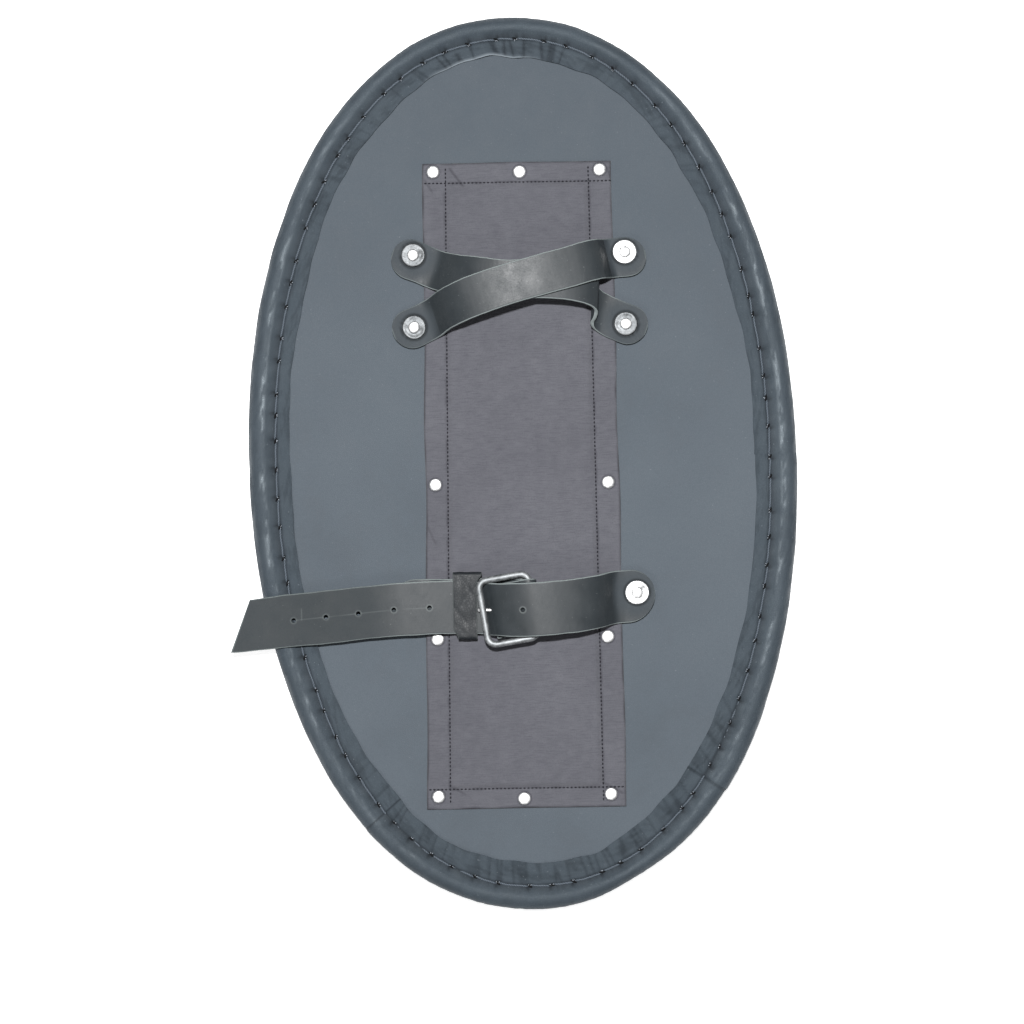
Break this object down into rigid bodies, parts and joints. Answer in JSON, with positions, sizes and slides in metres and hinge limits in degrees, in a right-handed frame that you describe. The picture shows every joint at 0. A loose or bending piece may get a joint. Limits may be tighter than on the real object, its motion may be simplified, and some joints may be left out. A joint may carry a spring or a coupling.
{
  "type": "oval shield",
  "caption": "Flat oval shield with a padded leather edge, a riveted cloth arm pad, crossed leather hand straps and a buckled forearm strap on its back.",
  "frame": {"origin": "centre of the oval on the board's flat front face", "axes": "+Z out of the back, where the straps are; +Y along the long axis towards the hand straps; +X to the right, seen from the back"},
  "size_m": [0.5401, 0.8384, 0.055],
  "materials": {
    "board_leather": "rigid board with a matt slate-grey leather facing, faint pale specks",
    "edge_leather": "dark slate-grey garment leather, soft sheen, wrinkled at the seam",
    "pad_cloth": "matt grey-violet woven cloth",
    "strap_leather": "dark grey-green belt leather, satin, paler cut edges",
    "rivet_steel": "bright hammered steel",
    "buckle_steel": "dull grey steel wire"
  },
  "bodies": {
    "root": {"board": "board_leather", "edge_binding": "edge_leather", "arm_pad": "pad_cloth", "pad_rivet_01": "rivet_steel", "pad_rivet_02": "rivet_steel", "pad_rivet_03": "rivet_steel", "pad_rivet_04": "rivet_steel", "pad_rivet_05": "rivet_steel", "pad_rivet_06": "rivet_steel", "pad_rivet_07": "rivet_steel", "pad_rivet_08": "rivet_steel", "pad_rivet_09": "rivet_steel", "pad_rivet_10": "rivet_steel", "strap_rivet_upper_left": "rivet_steel", "strap_rivet_upper_right": "rivet_steel", "strap_rivet_lower_left": "rivet_steel", "strap_rivet_lower_right": "rivet_steel", "strap_rivet_forearm": "rivet_steel", "strap_rivet_buckle": "rivet_steel", "strap_washer_upper_left": "rivet_steel", "strap_washer_upper_right": "rivet_steel", "strap_washer_lower_left": "rivet_steel", "strap_washer_lower_right": "rivet_steel", "strap_washer_forearm": "rivet_steel", "strap_washer_buckle": "rivet_steel", "hand_strap_over": "strap_leather", "hand_strap_under": "strap_leather", "forearm_strap": "strap_leather", "buckle_strap": "strap_leather", "strap_keeper": "strap_leather", "buckle_frame": "buckle_steel", "buckle_tongue": "rivet_steel"}
  },
  "joints": []
}
